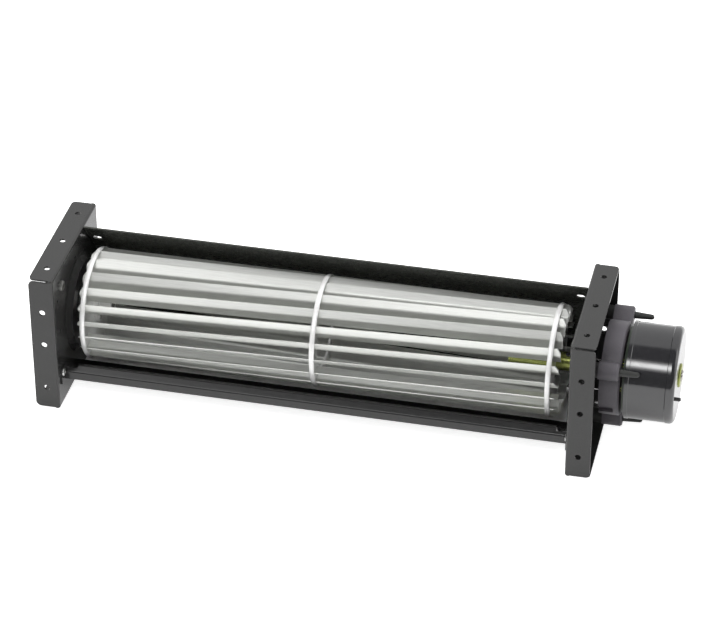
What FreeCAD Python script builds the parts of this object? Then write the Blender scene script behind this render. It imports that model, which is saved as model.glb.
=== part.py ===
import FreeCAD, Part
import math
import os
from types import SimpleNamespace

import Sketcher
from FreeCAD import Placement, Rotation, Vector

# Cross flow fan: a bladed drum between two folded end plates, with an outer-rotor motor on the right end.
# X runs along the drum, Y from front to back and Z up. The origin is midway between the plates, at the
# middle of their depth, on the underside of their bottom flanges. All lengths are in millimetres.

driving = {
    # End plates: folded pans with their flanges pointing away from the drum
    "inner_gap": 269.8,          # between the drum sides of the two webs
    "flange_width": 13.0,
    "plate_sheet": 1.0,
    "bend_radius": 1.4,          # outside of the folds
    "web_corner": 1.0,
    "relief": 1.1,               # open corner between two flanges
    "relief_start": 2.4,
    "flange_corner": 2.4,
    "hole_radius": 1.6,
    "hole_inset": 6.5,
    "front_hole_high": 20.0,      # from the plate's top edge
    "front_hole_low": 13.0,      # from its bottom edge
    "top_hole_inset": 12.5,      # from its front and back edges
    "pilot_radius": 0.9,
    "pilot_gap": 2.8,            # from the dish's rim to the pilot hole over it
    "pilot_turn": 101.2,
    "pilot_inset_high": 6.5,     # two more behind the front edge
    "pilot_up_high": 23.8,
    "pilot_inset_low": 8.4,
    "pilot_up_low": 4.5,
    # Drawn dish that carries the left bearing
    "dish_radius": 27.5,
    "dish_slope": 4.0,
    "dish_rise": 2.4,
    "dish_overlap": 1.0,
    "rubber_seat": 11.0,
    # Rear wall and tongue: folded sheets between the plates
    "wall_sheet": 0.8,
    "wall_inset": 0.6,
    "back_gap": 3.2,
    "guide_gap": 2.65,
    "guide_angle": 39.0,
    "scroll_radius": 30.0,
    "guide_hole_radius": 2.5,
    "guide_hole_inset": 4.6,
    "guide_hole_reach": 9.7,
    "tongue_gap": 6.0,
    "outlet_lip": 3.2,
    "outlet_width": 36.0,
    "fold_radius": 1.4,          # middle of the sheet
    "lip_turn": 214.0,
    "lip_slope": 40.0,
    "lip_band": 3.0,
    "hem": 3.7,
    "notch_width": 7.0,
    "notch_length": 13.0,
    "notch_corner": 2.5,
    # End tabs and the rivets through them
    "tab_reach": 6.0,
    "tab_half": 4.5,
    "guide_tab_reach": 5.0,
    "guide_tab_half": 3.5,
    "guide_tab_up": 5.4,         # from the guide's nearest point to the drum
    "back_tab_up": 13.5,
    "floor_tab_turn": 12.0,      # past the tongue's lip
    "floor_tab_span": 13.0,
    "rivet_radius": 1.2,
    "rivet_head": 2.1,
    "rivet_head_height": 0.9,
    "rivet_tail": 1.9,
    "rivet_tail_height": 1.2,
    "rivet_margin": 1.0,         # from the rivet's head to the tab's edge
    "hole_clearance": 0.05,
    # Drum
    "rotor_radius": 30.0,
    "ring_height": 0.43,
    "ring_width": 2.6,
    "disc_sheet": 1.0,
    "left_disc_gap": 9.3,        # web to the middle of the disc
    "right_disc_gap": 13.1,
    "middle_disc_hole": 19.0,
    "blade_count": 20,
    "blade_sheet": 0.5,
    "blade_outer": 4.5,          # strip from the tip to the bend
    "blade_inner": 5.6,          # strip from the bend inwards
    "blade_lean": 50.0,          # outer strip from the radius
    "blade_inner_lean": 14.0,
    "blade_bend": 2.5,           # middle of the sheet
    "blade_twist": 15.5,         # from the left disc to the right one
    "blade_overhang_left": 3.1,
    "blade_overhang_right": 5.0,
    "blade_slant": 2.4,          # of the ends, at the drum's outside
    "blade_phase": 16.3,         # at the middle disc
    "slot_clearance": 0.06,
    # Hubs, shafts and the left bearing
    "shaft_radius": 3.0,
    "turned_edge": 0.5,
    "press_clearance": 0.02,
    "running_clearance": 0.03,
    "hub_radius": 5.0,
    "hub_flange": 10.0,
    "hub_flange_sheet": 1.8,
    "left_hub_inward": 8.0,
    "left_hub_outward": 3.2,
    "right_hub_inward": 24.0,
    "right_hub_outward": 8.6,
    "hub_rivet_circle": 7.6,
    "hub_rivet_radius": 1.0,
    "hub_rivet_head": 1.7,
    "hub_rivet_height": 0.7,
    "hub_rivet_count": 3,
    "grub_radius": 1.5,
    "grub_inset": 2.6,
    "grub_drive": 0.8,
    "washer_sheet": 0.6,
    "washer_radius": 5.4,
    "axial_clearance": 0.2,
    "bush_length": 8.0,
    "bush_radius": 6.5,
    "bush_edge": 1.0,
    "stub_past_bush": 1.6,
    "rubber_wall": 1.6,
    "rubber_lip": 2.4,
    "rubber_lip_sheet": 1.2,
    "rubber_edge": 0.6,
    # Earthing screw on the left plate
    "earth_inset": 13.2,         # from the front edge
    "earth_down": 10.2,          # from the top edge
    "earth_radius": 1.5,
    "earth_head": 2.8,
    "earth_head_height": 1.7,
    "earth_cross_arm": 1.7,
    "earth_cross_half": 0.4,
    "earth_length": 8.0,
    "nut_across": 5.5,
    "nut_height": 2.4,
    # Motor carrier and its rubber isolators
    "motor_opening": 16.0,
    "carrier_gap": 12.6,         # web to the carrier's near face
    "carrier_depth": 10.5,
    "carrier_inset": 1.0,        # smaller than the can
    "carrier_wall": 2.0,
    "carrier_floor": 3.0,
    "carrier_boss": 12.6,
    "carrier_boss_height": 5.0,
    "rib_sheet": 1.6,
    "rib_height": 4.2,
    "rib_count": 6,
    "lobe_count": 3,
    "lobe_reach": 3.45,          # beyond the mean of the drum's and the can's radii
    "lobe_phase": 30.0,
    "lobe_radius": 4.6,
    "carrier_edge": 0.8,
    "cable_notch": 6.0,
    "post_radius": 3.9,          # of the isolator between the plate and the carrier
    "isolator_head": 4.6,
    "isolator_head_sheet": 2.0,
    "isolator_neck": 3.0,
    "isolator_shank": 1.5,
    "isolator_tail": 1.9,        # behind the carrier, where it is thickest
    "isolator_tail_length": 10.4,
    "isolator_tip": 1.4,
    "rubber_clearance": 0.1,
    "head_clearance": 0.5,
    # Motor
    "tube_radius": 7.5,
    "tube_seat": 6.5,
    "tube_land": 5.4,
    "tube_back": 10.0,
    "tube_front": 19.5,
    "tube_flange": 12.2,
    "tube_flange_sheet": 2.0,
    "motor_screw_circle": 10.0,
    "motor_screw_radius": 1.1,
    "motor_screw_head": 1.9,
    "motor_screw_head_height": 1.2,
    "motor_screw_length": 7.0,
    "motor_bearing_length": 5.0,
    "shield_recess": 0.4,
    "stack_start": 7.0,
    "stack_length": 11.6,
    "stack_hub": 11.2,
    "tooth_count": 9,
    "tooth_half": 1.5,
    "tip_depth": 1.8,
    "tip_half_angle": 15.0,
    "coil_wall": 2.3,
    "coil_clearance": 0.15,
    "board_inset": 1.7,          # smaller than the inside of the can
    "board_hole": 14.0,
    "board_sheet": 1.4,
    "board_lift": 1.0,
    "spacer_radius": 1.8,
    "air_gap": 0.5,
    "magnet_wall": 3.55,
    "magnet_start": 2.2,
    "magnet_length": 17.0,
    "glue_gap": 0.05,
    "can_gap": 2.4,
    "can_radius": 25.5,
    "can_length": 25.7,
    "can_wall": 1.2,
    "can_bead": 0.3,
    "can_bead_width": 1.8,
    "can_corner": 2.6,
    "boss_radius": 6.3,
    "boss_height": 0.8,
    "boss_sleeve": 5.0,
    "boss_inward": 4.0,
    "shaft_tip": 1.1,
    "pin_circle": 16.2,
    "pin_turn": 195.0,
    "pin_radius": 1.0,
    "pin_height": 2.9,
    "pin_edge": 0.3,
    "pin_head": 1.8,
    "pin_head_height": 0.8,
    "clip_groove": 0.35,
    "clip_sheet": 0.7,
    "clip_radius": 4.8,
    "clip_opening": 1.8,
    "root_overlap": 0.5,         # of a rib or tooth with what carries it
}

doc = FreeCAD.newDocument("cross_flow_fan")
sheet = doc.addObject("Spreadsheet::Sheet", "Sizes")
for row, (alias, amount) in enumerate(driving.items(), start=1):
    sheet.set(f"A{row}", alias)
    sheet.set(f"B{row}", str(amount))
    sheet.setAlias(f"B{row}", alias)
doc.recompute()


class Size:
    """A number together with the spreadsheet formula that gives it."""

    def __init__(self, value, text):
        self.value = value
        self.text = text

    def __add__(self, other):
        other = as_size(other)
        return Size(self.value + other.value, f"({self.text} + {other.text})")

    def __sub__(self, other):
        other = as_size(other)
        return Size(self.value - other.value, f"({self.text} - {other.text})")

    def __mul__(self, other):
        other = as_size(other)
        return Size(self.value * other.value, f"({self.text} * {other.text})")

    def __truediv__(self, other):
        other = as_size(other)
        return Size(self.value / other.value, f"({self.text} / {other.text})")

    def __neg__(self):
        return as_size(0) - self

    def __radd__(self, other):
        return as_size(other) + self

    def __rsub__(self, other):
        return as_size(other) - self

    def __rmul__(self, other):
        return as_size(other) * self

    def __rtruediv__(self, other):
        return as_size(other) / self


def as_size(amount):
    if isinstance(amount, Size):
        return amount
    return Size(float(amount), f"({amount})")


def sine(angle):
    angle = as_size(angle)
    return Size(math.sin(math.radians(angle.value)), f"sin({angle.text})")


def cosine(angle):
    angle = as_size(angle)
    return Size(math.cos(math.radians(angle.value)), f"cos({angle.text})")


def root(amount):
    amount = as_size(amount)
    return Size(math.sqrt(amount.value), f"sqrt({amount.text})")


def bind(item, prop, amount):
    item.setExpression(prop, as_size(amount).text)


s = SimpleNamespace(**{alias: Size(sheet.get(alias), f"Sizes.{alias}") for alias in driving})

# Places that several pieces share, with the drum's axis along X through (axis_y, axis_z)

half_gap = s.inner_gap / 2
half_plate = s.rotor_radius + s.tongue_gap + s.wall_sheet + s.outlet_lip
plate_side = half_plate * 2
axis_z = half_plate
axis_y = half_plate - s.wall_inset - s.wall_sheet - s.back_gap - s.rotor_radius
half_sheet = s.wall_sheet / 2
left_disc_x = s.left_disc_gap - half_gap
right_disc_x = half_gap - s.right_disc_gap
middle_disc_x = (left_disc_x + right_disc_x) / 2
carrier_x = half_gap + s.carrier_gap
motor_face_x = carrier_x + s.carrier_depth
can_x = motor_face_x + s.can_gap
can_end_x = can_x + s.can_length
can_inside = s.can_radius - s.can_bead - s.can_wall
stator_radius = can_inside - s.glue_gap - s.magnet_wall - s.air_gap
board_radius = can_inside - s.board_inset
spacer_circle = (board_radius + s.board_hole) / 2
carrier_radius = s.can_radius - s.carrier_inset
lobe_circle = (s.rotor_radius + s.can_radius) / 2 + s.lobe_reach
lobe_pitch = 360 / s.lobe_count
earth_y = s.earth_inset - half_plate
earth_z = plate_side - s.earth_down


def around_axis(radius, turn):
    """Point (y, z) at a radius from the drum's axis, turned from the back over the top."""
    return axis_y + radius * cosine(turn), axis_z + radius * sine(turn)


# Makers of document objects

def new_body(label, x=0, y=0, z=0, turn=None):
    body = doc.addObject("PartDesign::Body", label)
    body.Label = label
    if turn is not None:
        turn = as_size(turn)
        body.Placement = Placement(Vector(), Rotation(Vector(1, 0, 0), turn.value))
        bind(body, "Placement.Rotation.Angle", turn)
    for axis, amount in zip("xyz", (x, y, z)):
        bind(body, f"Placement.Base.{axis}", amount)
    return body


def axis_body(label, x, turn=None):
    return new_body(label, x, axis_y, axis_z, turn)


def origin_item(body, role):
    for item in body.Origin.OriginFeatures:
        if item.Role == role:
            return item
    raise ValueError(role)


def new_sketch(body, role, lift=0, across=0, along=0, tilt=None, about=Vector(1, 0, 0)):
    sketch = body.newObject("Sketcher::SketchObject", f"{body.Name}_sketch")
    sketch.AttachmentSupport = [(origin_item(body, role), "")]
    sketch.MapMode = "FlatFace"
    if tilt is not None:
        tilt = as_size(tilt)
        sketch.AttachmentOffset = Placement(Vector(), Rotation(about, tilt.value))
        bind(sketch, "AttachmentOffset.Rotation.Angle", tilt)
    for axis, amount in zip("xyz", (across, along, lift)):
        bind(sketch, f"AttachmentOffset.Base.{axis}", amount)
    return sketch


def dimension(sketch, kind, place, amount):
    amount = as_size(amount)
    number = sketch.addConstraint(Sketcher.Constraint(kind, *place, amount.value))
    name = f"size_{number}"
    sketch.renameConstraint(number, name)
    bind(sketch, f"Constraints.{name}", amount)


def pin_point(sketch, edge, end, point):
    dimension(sketch, "DistanceX", (-1, 1, edge, end), point[0])
    dimension(sketch, "DistanceY", (-1, 1, edge, end), point[1])


def arc_between(start, end, radius, centre):
    """The short arc from start to end, and whether it runs anticlockwise."""
    hub = Vector(centre[0].value, centre[1].value, 0)
    turns = [math.atan2(p[1].value - hub.y, p[0].value - hub.x) for p in (start, end)]
    forward = (turns[1] - turns[0]) % (2 * math.pi) < math.pi
    if not forward:
        turns.reverse()
    circle = Part.Circle(hub, Vector(0, 0, 1), radius.value)
    return Part.ArcOfCircle(circle, turns[0], turns[1]), forward


def draw(sketch, points, arcs=None, closed=True):
    """Lines through the points; arcs maps a point's number to the (radius, centre) of the arc after it."""
    arcs = arcs or {}
    points = [tuple(as_size(amount) for amount in point) for point in points]
    count = len(points) if closed else len(points) - 1
    ends = []
    for i in range(count):
        start, end = points[i], points[(i + 1) % len(points)]
        if i in arcs:
            radius, centre = as_size(arcs[i][0]), [as_size(amount) for amount in arcs[i][1]]
            shape, forward = arc_between(start, end, radius, centre)
            edge = sketch.addGeometry(shape, False)
            dimension(sketch, "Radius", (edge,), radius)
            ends.append((edge, 1, 2) if forward else (edge, 2, 1))
        else:
            line = Part.LineSegment(Vector(start[0].value, start[1].value, 0),
                                    Vector(end[0].value, end[1].value, 0))
            ends.append((sketch.addGeometry(line, False), 1, 2))
    for i in range(count if closed else count - 1):
        this, after = ends[i], ends[(i + 1) % count]
        sketch.addConstraint(Sketcher.Constraint("Coincident", this[0], this[2], after[0], after[1]))
    for i in range(count):
        pin_point(sketch, ends[i][0], ends[i][1], points[i])
    if not closed:
        pin_point(sketch, ends[-1][0], ends[-1][2], points[-1])
    return sketch


def rectangle(left, low, right, high):
    return [(left, low), (right, low), (right, high), (left, high)]


def circle(sketch, x, y, radius):
    x, y, radius = as_size(x), as_size(y), as_size(radius)
    shape = Part.Circle(Vector(x.value, y.value, 0), Vector(0, 0, 1), radius.value)
    edge = sketch.addGeometry(shape, False)
    pin_point(sketch, edge, 3, (x, y))
    dimension(sketch, "Radius", (edge,), radius)
    return sketch


def feature(body, kind, sketch, **settings):
    item = body.newObject(f"PartDesign::{kind}", f"{body.Name}_{kind.lower()}")
    item.Profile = (sketch, [""])
    for name, setting in settings.items():
        if isinstance(setting, Size):
            bind(item, name, setting)
        else:
            setattr(item, name, setting)
    return item


def pad(body, sketch, length, back=False, both=False):
    side = "Symmetric" if both else "One side"
    return feature(body, "Pad", sketch, SideType=side, Reversed=back, Length=as_size(length))


def removes(body, make):
    """Run a cutting step and make sure that it takes material away."""
    doc.recompute()
    before = body.Tip.Shape.Volume
    item = make()
    doc.recompute()
    if not item.Shape.Volume < before:
        raise ValueError(f"{item.Name} cuts nothing")
    return item


def pocket(body, sketch, length, back=False, both=False):
    side = "Symmetric" if both else "One side"

    def make():
        return feature(body, "Pocket", sketch, SideType=side, Reversed=back, Length=as_size(length))

    return removes(body, make)


def drill(body, sketch):
    def make():
        return feature(body, "Pocket", sketch, SideType="Symmetric", Type="ThroughAll")

    return removes(body, make)


def revolve(body, sketch):
    return feature(body, "Revolution", sketch, ReferenceAxis=(sketch, ["H_Axis"]), Angle=360)


def groove(body, sketch):
    def make():
        return feature(body, "Groove", sketch, ReferenceAxis=(sketch, ["H_Axis"]), Angle=360)

    return removes(body, make)


def polar(body, features, count):
    doc.recompute()
    pattern = body.newObject("PartDesign::PolarPattern", f"{body.Name}_pattern")
    pattern.Originals = features
    pattern.Axis = (origin_item(body, "X_Axis"), [""])
    pattern.Angle = 360
    bind(pattern, "Occurrences", count)
    body.Tip = pattern
    return pattern


def soften(body, kind, amount, wanted):
    """Fillet or chamfer the edges of the body so far that the wanted test picks."""
    doc.recompute()
    base = body.Tip
    names = [f"Edge{i}" for i, edge in enumerate(base.Shape.Edges, start=1) if wanted(edge)]
    if not names:
        raise ValueError(f"{body.Name} has no such edge")
    item = body.newObject(f"PartDesign::{kind}", f"{body.Name}_{kind.lower()}")
    item.Base = (base, names)
    bind(item, "Radius" if kind == "Fillet" else "Size", amount)
    return item


def turned(label, x, outline, arcs=None, turn=None):
    """A body turned about the drum's axis from an outline of (x, radius) points."""
    body = axis_body(label, x, turn)
    revolve(body, draw(new_sketch(body, "XY_Plane"), outline, arcs))
    return body


def near(one, other):
    return abs(one - other) < 1e-4


def round_edge_at(x, radius):
    """Test for a circular edge about X at a place along the body and of a radius."""
    x, radius = as_size(x).value, as_size(radius).value

    def wanted(edge):
        curve = edge.Curve
        return isinstance(curve, Part.Circle) and near(curve.Radius, radius) and near(curve.Center.x, x)

    return wanted


# Sections of the two folded sheets, as the middle line of the sheet in (y, z)

wall_y = axis_y + s.rotor_radius + s.back_gap + half_sheet
scroll_mid = s.scroll_radius + half_sheet
guide_out = (cosine(s.guide_angle), sine(s.guide_angle))
guide_mid = s.rotor_radius + s.guide_gap + half_sheet
scroll_y = wall_y - scroll_mid
scroll_z = axis_z + (guide_mid - scroll_mid - (scroll_y - axis_y) * guide_out[0]) / guide_out[1]
guide_start = (scroll_y + scroll_mid * guide_out[0], scroll_z + scroll_mid * guide_out[1])
guide_top_z = plate_side - half_sheet
guide_top_y = axis_y + (guide_mid - (guide_top_z - axis_z) * guide_out[1]) / guide_out[0]
guide_near = (axis_y + guide_mid * guide_out[0], axis_z + guide_mid * guide_out[1])

tongue_mid = s.rotor_radius + s.tongue_gap + half_sheet
outlet_y = wall_y - half_sheet - s.outlet_width - half_sheet
outlet_fold_y = outlet_y - s.fold_radius
outlet_fold_drop = root((tongue_mid + s.fold_radius) * (tongue_mid + s.fold_radius)
                        - (outlet_fold_y - axis_y) * (outlet_fold_y - axis_y))
outlet_fold = (outlet_fold_y, axis_z - outlet_fold_drop)
outlet_share = tongue_mid / (tongue_mid + s.fold_radius)
floor_end = (axis_y + (outlet_fold_y - axis_y) * outlet_share, axis_z - outlet_fold_drop * outlet_share)
lip_start = around_axis(tongue_mid, s.lip_turn)
lip_fold = around_axis(tongue_mid + s.fold_radius, s.lip_turn)
band_start = (lip_fold[0] - s.fold_radius * sine(s.lip_slope),
              lip_fold[1] + s.fold_radius * cosine(s.lip_slope))
band_end = (band_start[0] - s.lip_band * cosine(s.lip_slope), band_start[1] - s.lip_band * sine(s.lip_slope))
hem_fold = (band_end[0] + s.fold_radius * sine(s.lip_slope),
            band_end[1] - s.fold_radius * cosine(s.lip_slope))
hem_y = hem_fold[0] - s.fold_radius
hem_low = hem_fold[1] - s.hem


def along_guide(up, out):
    """Point (y, z) up the slanted guide of the rear wall and out from it, from its nearest point."""
    return (guide_near[0] - up * guide_out[1] + out * guide_out[0],
            guide_near[1] + up * guide_out[0] + out * guide_out[1])


# End tabs: outline, and the place of the rivet through it

guide_tab_low = s.guide_tab_up - s.guide_tab_half
guide_tab_high = s.guide_tab_up + s.guide_tab_half
guide_tab = [along_guide(guide_tab_low, 0), along_guide(guide_tab_high, 0),
             along_guide(guide_tab_high, s.guide_tab_reach), along_guide(guide_tab_low, s.guide_tab_reach)]
back_tab = rectangle(wall_y - half_sheet - s.tab_reach, s.back_tab_up - s.tab_half,
                     wall_y, s.back_tab_up + s.tab_half)
hem_tab = rectangle(hem_y - s.tab_reach, hem_low, hem_y, hem_low + s.tab_half * 2)
floor_tab_start = s.lip_turn + s.floor_tab_turn
floor_tab_end = floor_tab_start + s.floor_tab_span
floor_tab = [around_axis(tongue_mid, floor_tab_start), around_axis(tongue_mid + s.tab_reach, floor_tab_start),
             around_axis(tongue_mid + s.tab_reach, floor_tab_end), around_axis(tongue_mid, floor_tab_end)]
rivet_spots = [
    along_guide(s.guide_tab_up, (s.guide_tab_reach + half_sheet) / 2),
    (wall_y - half_sheet - s.tab_reach / 2, s.back_tab_up),
    (hem_y - s.tab_reach / 2, hem_low + s.tab_half * 2 - s.rivet_head - s.rivet_margin),
    around_axis(tongue_mid + s.tab_reach / 2 + half_sheet, (floor_tab_start + floor_tab_end) / 2),
]
pilot_spots = [
    around_axis(s.dish_radius + s.dish_overlap + s.pilot_gap, s.pilot_turn),
    (s.pilot_inset_high - half_plate, axis_z + s.pilot_up_high),
    (s.pilot_inset_low - half_plate, axis_z + s.pilot_up_low),
]


def end_plate(label, side):
    """Folded pan: side is 1 for the right plate and -1 for the left one."""
    body = new_body(label, x=half_gap * side)
    outer = draw(new_sketch(body, "YZ_Plane"), rectangle(-half_plate, 0, half_plate, plate_side))
    pad(body, outer, s.flange_width, back=side < 0)
    inside = new_sketch(body, "YZ_Plane", lift=s.plate_sheet * side)
    draw(inside, rectangle(s.plate_sheet - half_plate, s.plate_sheet,
                           half_plate - s.plate_sheet, plate_side - s.plate_sheet))
    pocket(body, inside, s.flange_width, back=side > 0)

    corners = new_sketch(body, "YZ_Plane", lift=s.relief_start * side)
    for y in (-half_plate, half_plate - s.relief):
        for z in (as_size(0), plate_side - s.relief):
            draw(corners, rectangle(y, z, y + s.relief, z + s.relief))
    pocket(body, corners, s.flange_width, back=side > 0)

    rim_x = (s.flange_width * side).value
    sheet_length = s.plate_sheet.value
    soften(body, "Fillet", s.flange_corner, lambda edge: near(edge.Length, sheet_length)
           and all(near(v.X, rim_x) for v in edge.Vertexes))
    corner_length = s.relief_start.value
    soften(body, "Fillet", s.web_corner, lambda edge: near(edge.Length, corner_length)
           and near(min(v.X * side for v in edge.Vertexes), 0))
    soften(body, "Fillet", s.bend_radius, lambda edge: edge.Length > half_plate.value
           and all(near(v.X, 0) for v in edge.Vertexes))

    upright = new_sketch(body, "XZ_Plane")
    for z in (plate_side - s.front_hole_high, axis_z, s.front_hole_low):
        circle(upright, s.hole_inset * side, z, s.hole_radius)
    drill(body, upright)
    level = new_sketch(body, "XY_Plane")
    for y in (s.top_hole_inset - half_plate, as_size(0), half_plate - s.top_hole_inset):
        circle(level, s.hole_inset * side, y, s.hole_radius)
    drill(body, level)

    holes = new_sketch(body, "YZ_Plane")
    for y, z in rivet_spots:
        circle(holes, y, z, s.rivet_radius + s.hole_clearance)
    for y, z in pilot_spots:
        circle(holes, y, z, s.pilot_radius)
    return body, holes


def left_end_plate():
    body, holes = end_plate("left_end_plate", -1)
    circle(holes, earth_y, earth_z, s.earth_radius + s.hole_clearance)
    circle(holes, axis_y, axis_z, s.dish_radius + s.dish_overlap / 2)
    drill(body, holes)
    # The dish rises towards the drum and ends in the hole that the bearing's rubber clips into
    section = new_sketch(body, "XY_Plane", lift=axis_z, along=axis_y)
    slope_end = s.dish_radius - s.dish_slope
    draw(section, [(0, s.dish_radius + s.dish_overlap), (0, s.dish_radius), (s.dish_rise, slope_end),
                   (s.dish_rise, s.rubber_seat), (s.dish_rise - s.plate_sheet, s.rubber_seat),
                   (s.dish_rise - s.plate_sheet, slope_end - s.plate_sheet / 2),
                   (-s.plate_sheet, s.dish_radius - s.plate_sheet / 2),
                   (-s.plate_sheet, s.dish_radius + s.dish_overlap)])
    revolve(body, section)
    return body


def right_end_plate():
    body, holes = end_plate("right_end_plate", 1)
    circle(holes, axis_y, axis_z, s.motor_opening)
    for i in range(int(s.lobe_count.value)):
        y, z = around_axis(lobe_circle, s.lobe_phase + lobe_pitch * i)
        circle(holes, y, z, s.isolator_neck + s.rubber_clearance)
    drill(body, holes)
    return body


def folded_sheet(label, foot_y, path, bends):
    """A sheet between the plates that follows a path in (y, z) from its foot at z = 0."""
    body = new_body(label)
    foot = draw(new_sketch(body, "XY_Plane"),
                rectangle(-half_gap, foot_y - half_sheet, half_gap, foot_y + half_sheet))
    line = draw(new_sketch(body, "YZ_Plane"), path, bends, closed=False)
    strip = body.newObject("PartDesign::AdditivePipe", f"{label}_pipe")
    strip.Profile = (foot, [""])
    strip.Spine = (line, [f"Edge{i}" for i in range(1, len(path))])
    return body


def add_tab(body, outline, spot):
    for side in (-1, 1):
        plan = draw(new_sketch(body, "YZ_Plane", lift=half_gap * side), outline)
        pad(body, plan, s.wall_sheet, back=side > 0)
    plan = circle(new_sketch(body, "YZ_Plane"), spot[0], spot[1], s.rivet_radius + s.hole_clearance)
    drill(body, plan)


def rear_wall():
    path = [(wall_y, 0), (wall_y, scroll_z), guide_start, (guide_top_y, guide_top_z)]
    body = folded_sheet("rear_wall", wall_y, path, {1: (scroll_mid, (scroll_y, scroll_z))})
    spot = along_guide(s.guide_hole_reach, 0)
    holes = new_sketch(body, "XY_Plane", across=0, along=spot[0], lift=spot[1], tilt=s.guide_angle - 90)
    for side in (-1, 1):
        circle(holes, (half_gap - s.guide_hole_inset) * side, 0, s.guide_hole_radius)
    pocket(body, holes, s.wall_sheet * 4, both=True)
    add_tab(body, guide_tab, rivet_spots[0])
    add_tab(body, back_tab, rivet_spots[1])
    # Its right end is cut back round the head of the isolator there
    y, z = around_axis(lobe_circle, s.lobe_phase)
    plan = new_sketch(body, "YZ_Plane", lift=half_gap)
    circle(plan, y, z, s.isolator_head + s.head_clearance)
    pocket(body, plan, s.isolator_head_sheet + s.head_clearance)
    return body


def tongue():
    path = [(outlet_y, 0), (outlet_y, outlet_fold[1]), floor_end, lip_start, band_start, band_end,
            (hem_y, hem_fold[1]), (hem_y, hem_low)]
    bends = {1: (s.fold_radius, outlet_fold), 2: (tongue_mid, (axis_y, axis_z)),
             3: (s.fold_radius, lip_fold), 5: (s.fold_radius, hem_fold)}
    body = folded_sheet("tongue", outlet_y, path, bends)
    # The lip is notched at both ends, and the hem and the floor run on to the plates
    notch_front = hem_y + s.fold_radius
    notch_back = notch_front + s.notch_length
    notch_left = half_gap - s.notch_width
    plan = new_sketch(body, "XY_Plane")
    for side in (-1, 1):
        corner = notch_left + s.notch_corner
        turn = notch_back - s.notch_corner
        draw(plan, [(half_gap * side, notch_front), (notch_left * side, notch_front),
                    (notch_left * side, turn), (corner * side, notch_back), (half_gap * side, notch_back)],
             {2: (s.notch_corner, (corner * side, turn))})
    drill(body, plan)
    add_tab(body, hem_tab, rivet_spots[2])
    add_tab(body, floor_tab, rivet_spots[3])
    return body


def sheet_rivets(label, side):
    """Blind rivets through the tabs and one plate: a low head inside and a set tail outside."""
    body = new_body(label, x=half_gap * side)
    grip = s.plate_sheet + s.wall_sheet

    def discs(lift, radius, height):
        plan = new_sketch(body, "YZ_Plane", lift=lift * side)
        for y, z in rivet_spots:
            circle(plan, y, z, radius)
        pad(body, plan, height, back=side < 0)

    discs(-s.wall_sheet, s.rivet_radius, grip + s.rivet_tail_height)
    discs(-s.wall_sheet - s.rivet_head_height, s.rivet_head, s.rivet_head_height)
    discs(s.plate_sheet, s.rivet_tail, s.rivet_tail_height)
    return body


def earth_screw():
    body = new_body("earth_screw", -half_gap, earth_y, earth_z)
    pad(body, circle(new_sketch(body, "YZ_Plane"), 0, 0, s.earth_radius), s.earth_length, back=True)
    pad(body, circle(new_sketch(body, "YZ_Plane"), 0, 0, s.earth_head), s.earth_head_height)
    soften(body, "Fillet", s.earth_head_height / 2, round_edge_at(s.earth_head_height, s.earth_head))
    cross = new_sketch(body, "YZ_Plane", lift=s.earth_head_height)
    arm, half = s.earth_cross_arm, s.earth_cross_half
    draw(cross, [(-arm, -half), (-half, -half), (-half, -arm), (half, -arm), (half, -half), (arm, -half),
                 (arm, half), (half, half), (half, arm), (-half, arm), (-half, half), (-arm, half)])
    pocket(body, cross, s.earth_head_height / 2)
    return body


def earth_nut():
    body = new_body("earth_nut", -half_gap - s.plate_sheet, earth_y, earth_z)
    plan = new_sketch(body, "YZ_Plane")
    corner = s.nut_across / root(3)
    draw(plan, [(corner * cosine(60 * i), corner * sine(60 * i)) for i in range(6)])
    circle(plan, 0, 0, s.earth_radius + s.hole_clearance)
    pad(body, plan, s.nut_height, back=True)
    return body


# Left bearing, from the plate inwards

bush_end_x = left_disc_x - s.disc_sheet / 2 - s.left_hub_outward - s.axial_clearance * 2 - s.washer_sheet
dish_face_x = s.dish_rise - half_gap


def left_bearing():
    half, edge = s.bush_length / 2, s.bush_edge
    flat = s.bush_radius - edge
    bore = s.shaft_radius + s.running_clearance
    return turned("left_bearing", bush_end_x - half,
                  [(-half, bore), (-half, flat), (edge - half, s.bush_radius), (half - edge, s.bush_radius),
                   (half, flat), (half, bore)])


def bearing_rubber():
    """Ring with a groove for the dish's edge, moulded round the bush."""
    inner = s.bush_radius + s.hole_clearance
    lip = s.rubber_seat + s.rubber_lip
    step = s.rubber_seat - s.rubber_clearance
    hub = s.bush_radius + s.rubber_wall
    drum_side = s.rubber_lip_sheet
    back = -s.plate_sheet - s.rubber_lip_sheet
    bush_back = bush_end_x - s.bush_length + s.bush_edge - dish_face_x
    edge = s.rubber_edge
    return turned("bearing_rubber", dish_face_x,
                  [(drum_side, inner), (drum_side, lip - edge), (drum_side - edge, lip), (0, lip), (0, step),
                   (-s.plate_sheet, step), (-s.plate_sheet, lip), (back + edge, lip), (back, lip - edge),
                   (back, hub), (bush_back, hub), (bush_back, inner)])


def thrust_washer():
    near_x = left_disc_x - s.disc_sheet / 2 - s.left_hub_outward - s.axial_clearance - s.washer_sheet
    bore = s.shaft_radius + s.running_clearance
    return turned("thrust_washer", near_x,
                  rectangle(0, bore, s.washer_sheet, s.washer_radius))


# Drum

blade_tip = s.rotor_radius - s.ring_height - s.slot_clearance * 2 - s.blade_sheet / 2
twist_rate = s.blade_twist / (right_disc_x - left_disc_x)


def drum_turn(x):
    """Turn of the skewed drum at a place along it."""
    return s.blade_phase - twist_rate * (x - middle_disc_x)


def along_strip(point, lean, inwards, aside):
    """Point moved down a blade's strip and aside from it, towards the middle of its bend."""
    return (point[0] - inwards * sine(lean) + aside * cosine(lean),
            point[1] - inwards * cosine(lean) - aside * sine(lean))


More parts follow.
